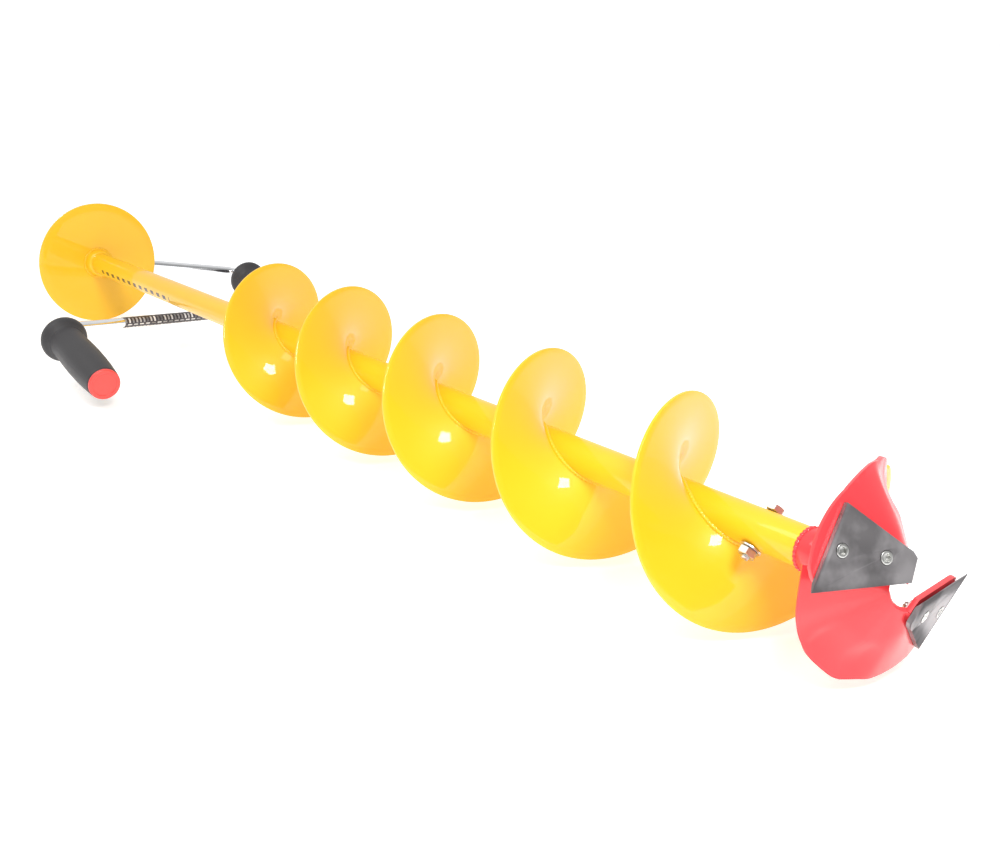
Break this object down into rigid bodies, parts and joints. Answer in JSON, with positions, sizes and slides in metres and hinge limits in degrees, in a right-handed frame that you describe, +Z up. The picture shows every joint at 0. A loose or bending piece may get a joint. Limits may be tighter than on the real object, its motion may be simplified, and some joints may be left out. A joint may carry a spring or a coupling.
{
  "type": "ice fishing auger",
  "caption": "Hand ice auger with a long screw on a steel tube, a bolted two-blade cutting head, a stop disc and a folding two-handed crank with spinning grips.",
  "frame": {"origin": "on the surface that the folded auger lies on, under the middle of its bounding box", "axes": "+X along the screw's tube towards the blades, +Z up from the surface that it lies on; the folded crank lies on the +Y and -Y sides"},
  "size_m": [1.2506, 0.3768, 0.1454],
  "materials": {
    "yellow_paint": "glossy powder coat",
    "red_paint": "glossy powder coat",
    "blade_steel": "ground tool steel",
    "chrome": "bright plated",
    "zinc": "zinc plated",
    "grip_rubber": "satin moulded",
    "liner_plastic": "matt moulded",
    "cap_plastic": "semi-gloss moulded",
    "label": "printed film"
  },
  "bodies": {
    "screw": {"main_tube": "yellow_paint", "stop_disc": "yellow_paint", "disc_collar": "yellow_paint", "pivot_sleeve": "yellow_paint", "head_hub": "red_paint", "head_bolt": "zinc", "head_bolt_washer": "zinc", "head_bolt_nut": "zinc", "screw_turn_1": "yellow_paint", "screw_turn_2": "yellow_paint", "screw_turn_3": "yellow_paint", "screw_turn_4": "yellow_paint", "screw_turn_5": "yellow_paint", "head_plate_a": "red_paint", "head_plate_b": "red_paint", "head_rib_a": "red_paint", "head_rib_b": "red_paint", "blade_a": "blade_steel", "blade_b": "blade_steel", "blade_screw_a1": "zinc", "blade_screw_a2": "zinc", "blade_screw_b1": "zinc", "blade_screw_b2": "zinc", "blade_nut_a1": "zinc", "blade_nut_a2": "zinc", "blade_nut_b1": "zinc", "blade_nut_b2": "zinc"},
    "crank": {"crank_rod": "chrome", "pivot_collar": "zinc", "pivot_washer": "zinc", "arm_label": "label", "mid_grip_ring_inner": "zinc", "mid_grip_ring_outer": "zinc", "top_grip_ring": "zinc", "top_grip_clip": "zinc"},
    "mid_grip": {"mid_grip_sleeve": "grip_rubber", "mid_grip_liner": "liner_plastic"},
    "top_grip": {"top_grip_sleeve": "grip_rubber", "top_grip_liner": "liner_plastic", "top_grip_cap": "cap_plastic"},
    "wing_nut": {"wing_nut": "zinc"}
  },
  "joints": [
    {"name": "crank_fold", "type": "hinge", "parent": "screw", "child": "crank", "pos_m": [-0.60709, -0.0304, 0.0734], "axis": [0, 0.9829, -0.184], "range_deg": [-3, 170]},
    {"name": "mid_grip_spin", "type": "hinge", "parent": "crank", "child": "mid_grip", "pos_m": [-0.53317, 0.16385, 0.02412], "axis": [0.9856, -0.0312, -0.1665], "continuous": true},
    {"name": "top_grip_spin", "type": "hinge", "parent": "crank", "child": "top_grip", "pos_m": [-0.25806, -0.16687, 0.03792], "axis": [0.9856, -0.0312, -0.1665], "continuous": true},
    {"name": "wing_nut_turn", "type": "hinge", "parent": "crank", "child": "wing_nut", "pos_m": [-0.60709, -0.0304, 0.0734], "axis": [0, 0.9829, -0.184], "continuous": true}
  ]
}
